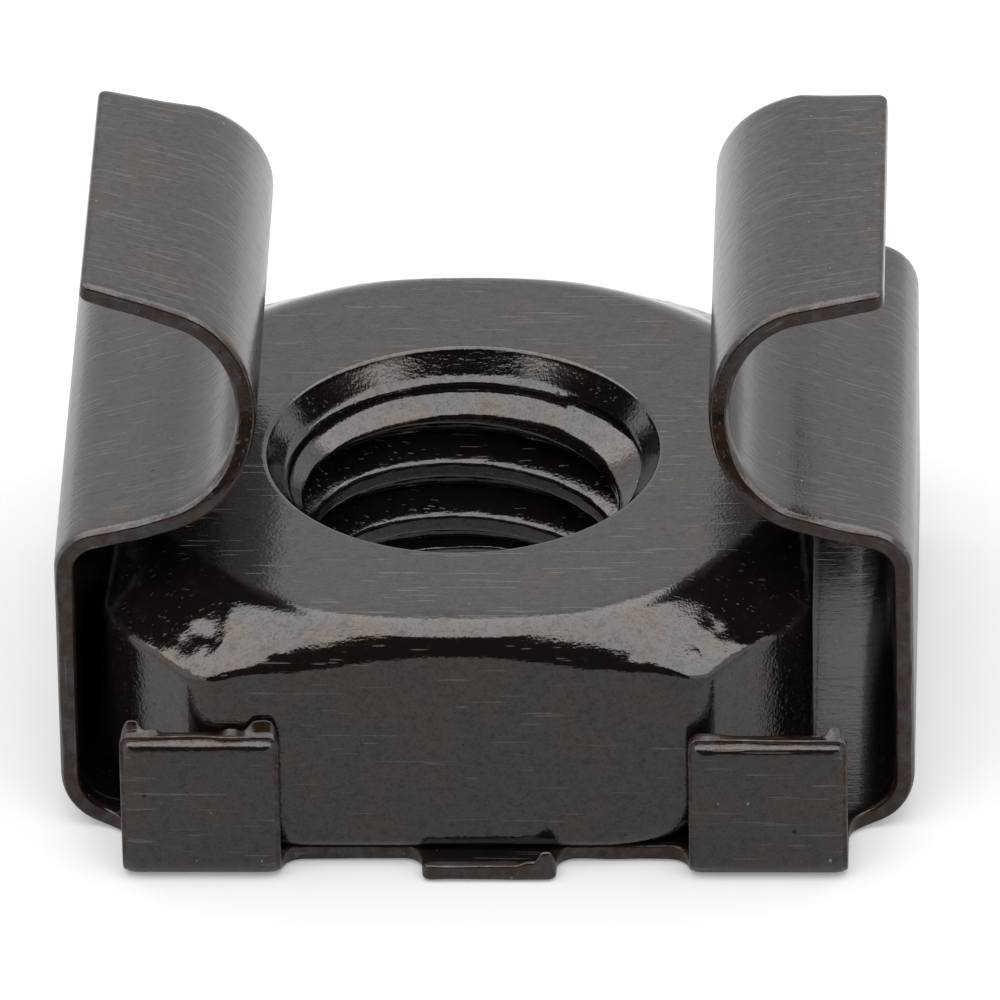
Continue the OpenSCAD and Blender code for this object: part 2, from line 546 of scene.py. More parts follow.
    def quarter(self, side: Side, end: int) -> list[tuple[float, float, float]]:
        """Corners of one quarter of the flat blank, from the stub to the ear's tip.

        Args:
            side: The ear's side.
            end: FRONT or REAR.

        Returns:
            Rows of along, across and radius.
        """
        s = side.value
        upright = self.tab_run().stations()[Station.FIRST_BEND_END] - self.tab_bend
        top = upright + self.tab_height[side, end]
        tab_in = (self.tab_pitch - self.tab_width) / 2
        tab_out = (self.tab_pitch + self.tab_width) / 2
        stub = s * self.stub_width / 2 + self.stub_shift
        base = self.base_length / 2
        places = [
            (stub, self.length / 2 - self.stub_short, self.stub_round),
            (stub, base, self.root * self.stub_root_share),
            (s * tab_in, base, self.root),
            (s * tab_in, top, self.tab_round),
            (s * tab_out, top, self.tab_round),
            (s * tab_out, self.strip_width / 2, self.flare),
        ]
        ear = self.ear_edge(side)
        tip, half_tip = ear[-1]
        edge = [(s * along, half, 0.0) for along, half in ear if along < tip - self.tip_clear]
        edge.append((s * tip, half_tip, self.tip_round))
        return [(x, end * y, r) for x, y, r in places + edge]

    def corners(self) -> list[tuple[float, float, float]]:
        """Corners of the flat blank with their radii, counter-clockwise from the front stub.

        Returns:
            Rows of along, across and radius.
        """
        return [
            *self.quarter(Side.RIGHT, FRONT),
            *self.quarter(Side.RIGHT, REAR)[::-1],
            *self.quarter(Side.LEFT, REAR),
            *self.quarter(Side.LEFT, FRONT)[::-1],
        ]

    def edge_profile(self) -> list[tuple[float, float]]:
        """The sheared edge between the flat faces, from the outer one to the inner one.

        Returns:
            Rows of inset and depth.
        """
        r, t = self.edge_round, self.sheet
        outer = [(r - r * math.sin(a), r - r * math.cos(a)) for a in np.radians([0, 22.5, 45, 67.5, 90])]
        inner = [(inset, t - depth) for inset, depth in reversed(outer)]
        return [*outer, (0.0, t / 2), *inner]

    def drooped(self, blank: np.ndarray, gap: np.ndarray) -> np.ndarray:
        """Pull the faces in towards the sheared edges, most of all at the tops of the tabs.

        Args:
            blank: Rows of along, across and depth.
            gap: Distance of each point from the edge of the blank.

        Returns:
            The same rows with new depths.
        """
        near = np.clip(1 - gap / self.droop_reach, 0, 1) ** 2
        start, end = (self.length / 2 + height for height in self.tab_droop_from)
        tab_top = ease(np.abs(blank[:, 1]), start, end)
        wander = 1 + self.wander * soft_field(blank, self.wander_cell, 11)
        outer = (self.droop + (self.tab_droop - self.droop) * tab_top) * near * wander
        inner = self.inner_droop * self.droop * near * wander
        share = blank[:, 2] / self.sheet
        return np.column_stack([blank[:, :2], blank[:, 2] + outer * (1 - share) - inner * share])

    def burred(self, blank: np.ndarray) -> np.ndarray:
        """Raise the shears' slivers along the inner edge of the cut.

        Args:
            blank: Rows of along, across and depth.

        Returns:
            The same rows, moved where there is a sliver.
        """
        moved = blank.copy()
        inner = ease(blank[:, 2] / self.sheet, *self.burr_depth)
        for burr in self.burrs:
            near = np.exp(-(((blank[:, 0] - burr.along) / burr.width) ** 4))
            end = ease(blank[:, 1], *(burr.across + reach for reach in self.burr_reach))
            axis, sign = (2, 1) if burr.upright else (1, -1)
            moved[:, axis] += sign * burr.height * near * end * inner
        return moved

    def twisted(self, blank: np.ndarray, place: np.ndarray, side: Side) -> np.ndarray:
        """How much higher each point of an ear stands than in a straight ear.

        Args:
            blank: Rows of along, across and depth.
            place: Rows of folded x, y and z.
            side: The ear's side.

        Returns:
            One height for each point.
        """
        ends = self.run(side).stations()
        along = blank[:, 0] * side.value
        lift = self.twist[side].curl
        # The strip is a little wider than the throat, and goes on turning there
        rear = np.clip((place[:, 1] / (self.throat_width / 2) + 1) / 2, 0, 1.05)
        share = lift * ease(along, ends[Station.SHOULDER_END], ends[Station.ARM_END])
        curl_end, tip = ends[Station.CURL_END], ends[Station.TIP]
        lip = np.clip((along - curl_end) / (tip - curl_end), 0, 1)
        return rear * (share + (self.twist[side].tip - lift) * lip)

    def grid(self, outlines: list[np.ndarray]) -> np.ndarray:
        """Points inside the blank, close together where it bends.

        Args:
            outlines: The blank's outline and its hole, at the edge of the flat faces.

        Returns:
            Rows of distance along and distance across.
        """
        lines: list[float] = []
        for side in Side:
            start, marks = 0.0, [0.0]
            for fold in self.run(side).folds:
                count = max(1, math.ceil(fold.run / self.flat_step))
                marks += list(start + np.linspace(0, fold.run, count + 1)[1:])
                start += fold.run
                if fold.turn:
                    middle = fold.radius - math.copysign(self.sheet / 2, fold.turn)
                    bend = math.radians(abs(fold.turn)) * middle
                    count = math.ceil(abs(fold.turn) / self.bend_step)
                    marks += list(start + np.linspace(0, bend, count + 1)[1:])
                    start += bend
            lines += [side.value * mark for mark in marks]
        along = np.array(sorted(set(lines)))
        bend_at = self.length / 2 - self.tab_bend
        bend = math.pi / 2 * (self.tab_bend - self.sheet / 2)
        flat = np.arange(0, bend_at, self.flat_step)
        round_bend = bend_at + np.linspace(0, bend, self.tab_bend_rows)
        upright = bend_at + bend + np.arange(1, self.tab_flat_rows) * self.flat_step
        half = np.concatenate([flat, round_bend, upright])
        across = np.concatenate([-half[:0:-1], half])
        points = np.array([(a, b) for a in along for b in across])
        clear = is_inside(points, outlines[0]) & ~is_inside(points, outlines[1])
        points = points[clear]
        return points[nearest_gap(points, np.vstack(outlines)) > self.edge_gap]

    def flat_faces(self, rims: list[np.ndarray], normals: list[np.ndarray]) -> tuple[np.ndarray, np.ndarray]:
        """Cut the flat part of the blank, inside its sheared edges, into triangles.

        Args:
            rims: The cut edges: the blank's outline and its hole.
            normals: Their normals, towards the steel.

        Returns:
            Rows of along and across, which start with the bounds of the flat part, and the triangles.
        """
        bounds = [rim + self.edge_band * normal for rim, normal in zip(rims, normals)]
        rings = []
        for share, least in self.edge_rings:
            for rim, normal in zip(rims, normals):
                ring = rim + self.edge_band * share * normal
                rings.append(ring[nearest_gap(ring, np.vstack(rims)) > self.edge_band * least])
        spread = self.grid(bounds)
        spread = spread[nearest_gap(spread, np.vstack(rings)) > self.ring_gap]
        wanted = np.vstack([*bounds, *rings, spread])
        edges, start = [], 0
        for ring in bounds:
            edges += [(start + i, start + (i + 1) % len(ring)) for i in range(len(ring))]
            start += len(ring)
        made = delaunay_2d_cdt([Vector(p) for p in wanted], edges, [], 0, MERGE_GAP)
        flat = np.array([tuple(p) for p in made[0]])
        if len(flat) != len(wanted):
            raise ValueError("the blank's points don't stay one to one")
        triangles = np.array(made[2])
        middles = flat[triangles].mean(axis=1)
        triangles = triangles[is_inside(middles, bounds[0]) & ~is_inside(middles, bounds[1])]
        a, b, c = (flat[triangles[:, k]] for k in range(3))
        turn = (b[:, 0] - a[:, 0]) * (c[:, 1] - a[:, 1]) - (b[:, 1] - a[:, 1]) * (c[:, 0] - a[:, 0])
        triangles[turn < 0] = triangles[turn < 0][:, ::-1]
        return flat, triangles

    def blank(self) -> tuple[np.ndarray, list[tuple[int, ...]], np.ndarray]:
        """The flat blank as a closed solid skin.

        Returns:
            Rows of along, across and depth, the faces, and 1 for each point round the cut edge.
        """
        hole = [
            (self.screw_hole / 2 * math.cos(a), -self.screw_hole / 2 * math.sin(a), 0.0)
            for a in np.radians(np.arange(0, FULL_TURN, 3))
        ]
        rims = [rounded_outline(corners, self.outline_step) for corners in (self.corners(), hole)]
        normals = [inward_normals(rim) for rim in rims]
        flat, triangles = self.flat_faces(rims, normals)
        count = len(flat)
        points = [np.column_stack([flat, np.full(count, depth)]) for depth in (0.0, self.sheet)]
        faces = triangles[:, ::-1].tolist() + (triangles + count).tolist()
        start, total = 0, 2 * count
        for rim, normal in zip(rims, normals):
            size = len(rim)
            rows = [list(range(start, start + size))]
            for inset, depth in self.edge_profile():
                points.append(np.column_stack([rim + inset * normal, np.full(size, depth)]))
                rows.append(list(range(total, total + size)))
                total += size
            rows.append(list(range(count + start, count + start + size)))
            for low, high in zip(rows, rows[1:]):
                for i in range(size):
                    j = (i + 1) % size
                    faces.append((low[i], low[j], high[j], high[i]))
            start += size
        blank = np.vstack(points)
        gap, cut_share = np.zeros(total), np.zeros(total)
        gap[: 2 * count] = np.tile(nearest_gap(flat, np.vstack(rims)), 2)
        cut_share[2 * count :] = 1.0
        return self.drooped(blank, gap), faces, cut_share

    def folded(self, blank: np.ndarray) -> np.ndarray:
        """Fold the blank's points into the cage.

        Args:
            blank: Rows of along, across and depth.

        Returns:
            Rows of x, y and z.
        """
        along, across, depth = blank.T
        place = np.column_stack([along, across, depth]).astype(float)
        for side in Side:
            here = along * side.value >= 0
            run = self.run(side)
            ends = run.stations()
            lip = ease(np.abs(along[here]), ends[Station.CURL_END], ends[Station.TIP])
            shear = self.tip_shear * math.tan(math.radians(self.lip_rise[side])) * depth[here] * lip
            x, z = run.place(np.abs(along[here]) + shear, depth[here])
            place[here] = np.column_stack([side.value * x, across[here], z])
            place[here, 2] += self.twisted(blank[here], place[here], side)
        from_tab = np.abs(np.abs(along) - self.tab_pitch / 2)
        tab = (np.abs(across) > self.length / 2 - self.tab_bend - 0.1) & (from_tab < self.tab_width)
        y, z = self.tab_run().place(np.abs(across[tab]), depth[tab])
        place[tab] = np.column_stack([along[tab], np.sign(across[tab]) * y, z])
        return place

    def mesh(self) -> Piece:
        """Make the cage's mesh, with the blank's own places stored for the finish.

        Returns:
            The cage.
        """
        blank, faces, cut_share = self.blank()
        piece = make_piece("cage_sheet", self.folded(self.burred(blank)), faces)
        give_field(piece, "blank", blank * MM)
        give_field(piece, "cut", cut_share)
        return piece

    def dress(self, piece: Piece) -> None:
        """Give the cage its finish: oil-blackened spring steel, scratched in handling."""
        piece.data.materials.append(OilBlack("oil-blackened spring steel", 0.16, field_name="blank").make())


# Forged nut


@dataclass
class ForgedNut:
    """Square forged nut with bevelled corners, countersinks and a right-hand thread."""

    width: float = 11.2
    height: float = 4.05
    # Bevels of the upright corners: leg along the front or rear face, and leg along the side
    bevels: dict[tuple[Side, int], tuple[float, float]] = field(
        default_factory=lambda: {
            (Side.LEFT, FRONT): (1.55, 1.75),
            (Side.RIGHT, FRONT): (1.7, 1.85),
            (Side.LEFT, REAR): (1.7, 1.7),
            (Side.RIGHT, REAR): (1.7, 1.7),
        }
    )
    face_d: float = 10.9
    cone_slope: float = 32.0
    foot_d: float = 12.3
    foot_slope: float = 45.0
    # Rolls of the top edge, as how far in and how far down: front, other sides, and the bevels
    front_roll: tuple[float, float] = (0.68, 0.4)
    side_roll: tuple[float, float] = (0.3, 0.36)
    bevel_roll: tuple[float, float] = (0.09, 0.07)
    foot_roll: float = 0.3
    corner_roll: float = 0.24
    # Where the front's roll takes over, from the axis and past the diagonal, and where the bevels' roll does
    front_from: tuple[float, float] = (4.2, 4.6)
    past_diagonal: tuple[float, float] = (-0.6, 0.6)
    bevel_from: tuple[float, float] = (-1.5, -0.1)
    # Roundings between the sides, and between each end and its cone
    sides_round: float = 0.1
    top_round: float = 0.12
    foot_round: float = 0.2
    # Hammered dents on the corners' cones: depth, and size of one dent
    dent_depth: float = 0.05
    dent: float = 0.3
    # Layers of dents as how many times finer and share of the depth, and where they come in
    dent_layers: tuple[tuple[float, float], ...] = ((1.0, 0.65), (2.2, 0.35))
    dents_from: tuple[float, float] = (5.6, 6.3)
    dents_above: tuple[float, float] = (2.4, 3.0)
    thread_d: float = 6.0
    bore_d: float = 4.9175
    pitch: float = 1.0
    # Share of the pitch that is half of a flat crest, and half of the angle between the flanks
    half_crest: float = 0.125
    flank: float = 30.0
    sink_d: float = 6.3
    # Countersink as depth below the face and radius, with the small step that the tap leaves
    sink: tuple[tuple[float, float], ...] = (
        (0.0, 3.15),
        (0.4, 2.87),
        (0.47, 2.79),
        (0.6, 2.78),
        (0.96, 2.36),
    )
    sink_round: float = 0.04
    # Heights of the groove's root between which its first turn runs out
    run_out: tuple[float, float] = (3.74, 3.44)
    # Height of the thread's crest on the rear wall, from the foot of the nut
    crest_at_rear: float = 2.155
    place: tuple[float, float, float] = (-0.451, -0.1425, 0.33)
    # Rows of the mesh up the bore, over each countersink, over each end and round the outside
    bore_rows: int = 92
    sink_rows: int = 8
    end_rows: int = 11
    side_rows: int = 92
    # Ring inside the steel from which rays find the outside, how far they reach and how often they halve it
    ring_r: float = 4.4
    ray_reach: float = 6.0
    halvings: int = 26
    # How far past the ring the rows of the ends go, and how far from the lip they start
    end_past_ring: float = 0.72
    end_from_lip: float = 0.3
    # Degrees between the columns, and how close and how far they stand round each upright edge
    column_step: float = 1.2
    edge_step: float = 0.4
    edge_reach: float = 2.4
    least_step: float = 0.2

    def legs(self, x: np.ndarray, y: np.ndarray) -> tuple[np.ndarray, np.ndarray]:
        """Legs of the bevel on the corner nearest to each point.

        Args:
            x: Place from side to side, from the nut's axis.
            y: Place from front to rear.

        Returns:
            Leg along the front or rear, and leg along the side.
        """
        along, beside = np.zeros(len(x)), np.zeros(len(x))
        for (side, end), legs in self.bevels.items():
            here = ((x >= 0) == (side is Side.RIGHT)) & ((y >= 0) == (end == REAR))
            along[here], beside[here] = legs
        return along, beside

    def outside(self, points: np.ndarray) -> np.ndarray:
        """Which side of the forged outside each point is on, negative in the steel.

        Args:
            points: Rows of x, y and z from the middle of the nut's foot.

        Returns:
            One value for each point, 0 on the surface.
        """
        x, y, z = np.abs(points[:, 0]), np.abs(points[:, 1]), points[:, 2]
        half = self.width / 2
        reach = np.hypot(x, y)
        flats = rounded_meet(x - half, y - half, self.sides_round)
        along, beside = self.legs(points[:, 0], points[:, 1])
        bevels = ((x - half + along) * beside + (y - half) * along) / np.hypot(along, beside)
        sides = rounded_meet(flats, bevels, self.corner_roll)
        slope, foot_slope = math.radians(self.cone_slope), math.radians(self.foot_slope)
        top_cone = (reach - self.face_d / 2) * math.sin(slope) + (z - self.height) * math.cos(slope)
        foot_cone = (reach - self.foot_d / 2) * math.sin(foot_slope) - z * math.cos(foot_slope)
        hammered = ease(reach, *self.dents_from) * ease(z, *self.dents_above)
        for finer, share in self.dent_layers:
            dents = soft_field(points, self.dent / finer, 21)
            top_cone = top_cone + hammered * share * self.dent_depth * dents
        top = rounded_meet(z - self.height, top_cone, self.top_round)
        foot = rounded_meet(-z, foot_cone, self.foot_round)
        at_front = ease(-points[:, 1], *self.front_from) * ease(y - x, *self.past_diagonal)
        at_bevel = ease(bevels - flats, *self.bevel_from)
        rolls = []
        for front, side, bevel in zip(self.front_roll, self.side_roll, self.bevel_roll):
            roll = side + (front - side) * at_front
            rolls.append(roll + (bevel - roll) * at_bevel)
        solid = rolled_meet(sides, top, *rolls)
        return np.maximum(solid, rounded_meet(sides, foot, self.foot_roll))

    def wall_radius(self, turn: np.ndarray, height: np.ndarray) -> np.ndarray:
        """Radius of the bore's wall: thread, and countersinks at both ends.

        Args:
            turn: Angle round the bore, in degrees from +X.
            height: Height above the foot of the nut.

        Returns:
            The radius at each place.
        """
        lead = self.crest_at_rear + (turn - 90) / FULL_TURN * self.pitch
        share = (height - lead) / self.pitch
        from_crest = np.abs(share - np.round(share)) * self.pitch
        crest, root = self.bore_d / 2, self.thread_d / 2
        flank = (from_crest - self.pitch * self.half_crest) / math.tan(math.radians(self.flank))
        deepest = lead + (np.floor(share) + 0.5) * self.pitch
        cut = ease(deepest, *self.run_out) * ease(self.height - deepest, *self.run_out)
        thread = crest + cut * np.clip(flank, 0.0, root - crest)
        from_end = np.minimum(height, self.height - height)
        return np.maximum(thread, np.interp(from_end, *zip(*self.sink)))

    def turns(self) -> np.ndarray:
        """Angles round the nut, close together at the eight upright edges.

        Returns:
            The angles in degrees, in order.
        """
        half = self.width / 2
        marks = set(np.round(np.arange(0, FULL_TURN, self.column_step), 4))
        near = np.arange(-self.edge_reach, self.edge_reach + self.edge_step / 2, self.edge_step)
        for (side, end), (along, beside) in self.bevels.items():
            for x, y in ((half - along, half), (half, half - beside)):
                at = math.degrees(math.atan2(end * y, side.value * x))
                marks |= set(np.round(at + near, 4) % FULL_TURN)
        ordered = np.array(sorted(marks))
        return ordered[np.append(np.diff(ordered) > self.least_step, True)]

    def bore(self, turns: np.ndarray, across: np.ndarray) -> list[np.ndarray]:
        """Rows up the bore: countersink, thread and countersink, with a soft lip at both ends.

        Args:
            turns: Angle of each column.
            across: Its direction as x and y.

        Returns:
            The rows from the lip at the foot to the lip on top.
        """
        sink_depth = self.sink[1][0]
        crown = self.height - self.sink_round
        heights = np.concatenate(
            [
                np.linspace(self.sink_round, sink_depth, self.sink_rows)[:-1],
                np.linspace(sink_depth, self.height - sink_depth, self.bore_rows),
                np.linspace(self.height - sink_depth, crown, self.sink_rows)[1:],
            ]
        )
        rows = []
        for z in heights:
            level = np.full(len(turns), z)
            rows.append(np.column_stack([self.wall_radius(turns, level)[:, None] * across, level]))
        rim = self.sink_d / 2
        lip = [(rim - self.sink_round, crown), (rim, self.height), (rim + self.sink_round, self.height)]
        for part in (0.25, 0.5, 0.75, 1.0):
            weights = ((1 - part) ** 2, 2 * part * (1 - part), part**2)
            r, z = (sum(w * corner[k] for w, corner in zip(weights, lip)) for k in (0, 1))
            rows.append(np.column_stack([r * across, np.full(len(turns), z)]))
            rows.insert(0, np.column_stack([r * across, np.full(len(turns), self.height - z)]))
        return rows

    def skin(self, across: np.ndarray) -> list[np.ndarray]:
        """Rows over the forged outside, found by rays from a ring inside the steel.

        Args:
            across: Direction of each column as x and y.

        Returns:
            The rows from the lip on top, over the edge and round to the lip at the foot.
        """
        rim, ring_z = self.sink_d / 2, self.height / 2
        spread = np.linspace(rim + self.end_from_lip, self.ring_r + self.end_past_ring, self.end_rows)
        top = [rim + 1.6 * self.sink_round, rim + 3 * self.sink_round, *spread]
        swings = [math.degrees(math.atan2(self.height - ring_z, r - self.ring_r)) for r in top]
        round_side = np.linspace(swings[-1], -swings[-1], self.side_rows)[1:-1]
        swings = [*swings, *round_side, *(-swing for swing in reversed(swings))]
        rows = []
        for swing in swings:
            out, rise = math.cos(math.radians(swing)), math.sin(math.radians(swing))
            near, far = np.zeros(len(across)), np.full(len(across), self.ray_reach)
            for _ in range(self.halvings):
                middle = (near + far) / 2
                r = self.ring_r + middle * out
                at = np.column_stack([r[:, None] * across, ring_z + middle * rise])
                solid = self.outside(at) < 0
                near = np.where(solid, middle, near)
                far = np.where(solid, far, middle)
            rows.append(at)
        return rows

    def mesh(self) -> Piece:
        """Make the nut's mesh as rows round the bore, up through it and back over the outside.

        Returns:
            The nut.
        """
        turns = self.turns()
        across = np.column_stack([np.cos(np.radians(turns)), np.sin(np.radians(turns))])
        rows = self.bore(turns, across) + self.skin(across)
        points = np.vstack(rows) + np.array(self.place)
        return make_piece("nut_forging", points, loop_quads(len(rows), len(turns), True))

    def dress(self, piece: Piece) -> None:
        """Give the nut its finish: oil-blackened forged steel, smoother and less worn than the cage."""
        finish = OilBlack("oil-blackened forged steel", 0.07, line_height=2.5, wear=0.3)
        piece.data.materials.append(finish.make())


# Finishes


def new_material(name: str) -> tuple[bpy.types.Material, bpy.types.ShaderNode]:
    """Make a material with its nodes.

    Args:
        name: Name of the real finish.

    Returns:
        The material and its main shader.
    """
    material = bpy.data.materials.new(name)
    material.use_nodes = True
    return material, material.node_tree.nodes["Principled BSDF"]


def add_node(tree: Tree, kind: str, links: dict | None = None, **settings) -> bpy.types.Node:
    """Add a node with its settings and its inputs.

    Args:
        tree: Node tree to add to.
        kind: Type of the node.
        links: Input name or number, to a value or to an output socket.
        settings: Properties of the node.

    Returns:
        The new node.
    """
    node = tree.nodes.new(kind)
    for name, value in settings.items():
        setattr(node, name, value)
    for name, value in (links or {}).items():
        if isinstance(value, Socket):
            tree.links.new(value, node.inputs[name])
        else:
            node.inputs[name].default_value = value
    return node


# Soft edge of a speck, as a share of the gap between specks, and of a scratch, in the noise's own value
SPECK_EDGE = 0.02
SCRATCH_EDGE = 0.03
# Value above which the noise almost never rises, how far below it all of a scratched surface starts, and
# the width of a swell of noise that leaves a scratch one wide
NOISE_TOP = 0.74
NOISE_SPREAD = 0.17
SCRATCH_CELL = 2.2


@dataclass(frozen=True)
class Specks:
    """Specks of one kind: gap between places, greatest radius, and share of the places that have one."""

    gap: float
    size: float
    share: float


@dataclass(frozen=True)
class Scratches:
    """Scratches in one direction: degrees from the grain, length, width, and how thickly they lie."""

    angle: float
    length: float
    width: float
    share: float


class Pattern:
    """Patterns of one material, read in real millimetres from one place."""

    def __init__(self, tree: Tree, place: Socket) -> None:
        """Keep the tree and the place.

        Args:
            tree: Node tree to add to.
            place: Where the patterns are read, in metres.
        """
        self.tree = tree
        self.place = place

    def turned(self, angle: float, stretch: tuple[float, float, float]) -> Socket:
        """The place turned in the plane of X and Y, and then stretched.

        Args:
            angle: Turn in degrees.
            stretch: Share of the real size along X, Y and Z.

        Returns:
            The new place.
        """
        links = {"Vector": self.place, "Rotation": (0, 0, math.radians(angle)), "Scale": stretch}
        return add_node(self.tree, "ShaderNodeMapping", links, vector_type="POINT").outputs[0]

    def noise(self, cell: float, detail: float = 2.0, place: Socket | None = None) -> Socket:
        """A soft noise from 0 to 1, whose swells are cell millimetres wide.

        Args:
            cell: Width of one swell.
            detail: Number of finer layers.
            place: Where to read it, or None for the pattern's own place.

        Returns:
            The noise.
        """
        links = {"Vector": place or self.place, "Scale": 1 / (cell * MM), "Detail": detail}
        return add_node(self.tree, "ShaderNodeTexNoise", links).outputs["Fac"]

    def ramp(
        self, value: Socket, start: float, end: float, top: float = 1.0, bottom: float = 0.0
    ) -> Socket:
        """Rise from bottom at start to top at end.

        Args:
            value: The value to read.
            start: Where it starts to rise.
            end: Where it reaches the top.
            top: The value there.
            bottom: The value before it rises.

        Returns:
            The risen value.
        """
        links = {"Value": value, "From Min": start, "From Max": end, "To Max": top, "To Min": bottom}
        return add_node(self.tree, "ShaderNodeMapRange", links).outputs["Result"]

    def combine(self, operation: str, a: Socket | float, b: Socket | float) -> Socket:
        """Two values put together by a named operation."""
        return add_node(self.tree, "ShaderNodeMath", {0: a, 1: b}, operation=operation).outputs[0]

    def mix(self, share: Socket | float, a: object, b: object) -> Socket:
        """One colour where share is 0 and another where it is 1."""
        links = {0: share, "A": a, "B": b}
        return add_node(self.tree, "ShaderNodeMix", links, data_type="RGBA").outputs["Result"]

    def specks(self, kind: "Specks", wear: float) -> Socket:
        """Small round specks, scattered.

        Args:
            kind: Their size, and how many there are.
            wear: Share of them that is there.

        Returns:
            1 in a speck and 0 elsewhere.
        """
        links = {"Vector": self.place, "Scale": 1 / (kind.gap * MM)}
        cells = add_node(self.tree, "ShaderNodeTexVoronoi", links).outputs
        chosen = self.ramp(cells["Color"], 1 - kind.share * wear, 1.0, kind.size / kind.gap)
        return self.ramp(self.combine("SUBTRACT", chosen, cells["Distance"]), 0.0, SPECK_EDGE)

    def scratches(self, kind: "Scratches", grain_angle: float, wear: float) -> Socket:
        """Fine straight scratches in one direction.

        Args:
            kind: Their direction and size, and how many there are.
            grain_angle: Direction of the grain, in degrees from X.
            wear: Share of them that is there.

        Returns:
            1 in a scratch and 0 elsewhere.
        """
        angle = -(grain_angle + kind.angle)
        place = self.turned(angle, (kind.width / kind.length, 1.0, 1.0))
        # The lower the edge, the more of the surface has noise above it
        edge = NOISE_TOP - NOISE_SPREAD * kind.share * wear
        return self.ramp(self.noise(kind.width * SCRATCH_CELL, 1.0, place), edge, edge + SCRATCH_EDGE)

    def bump(self, height: Socket, microns: float, under: Socket | None = None) -> Socket:
        """Raise the surface by a height from 0 to 1.

        Args:
            height: The height.
            microns: What a height of 1 is.
            under: Normal of the bump beneath.

        Returns:
            The new normal.
        """
        links = {"Height": height, "Distance": microns * MICRON, "Strength": 1.0}
        if under:
            links["Normal"] = under
        return add_node(self.tree, "ShaderNodeBump", links).outputs["Normal"]


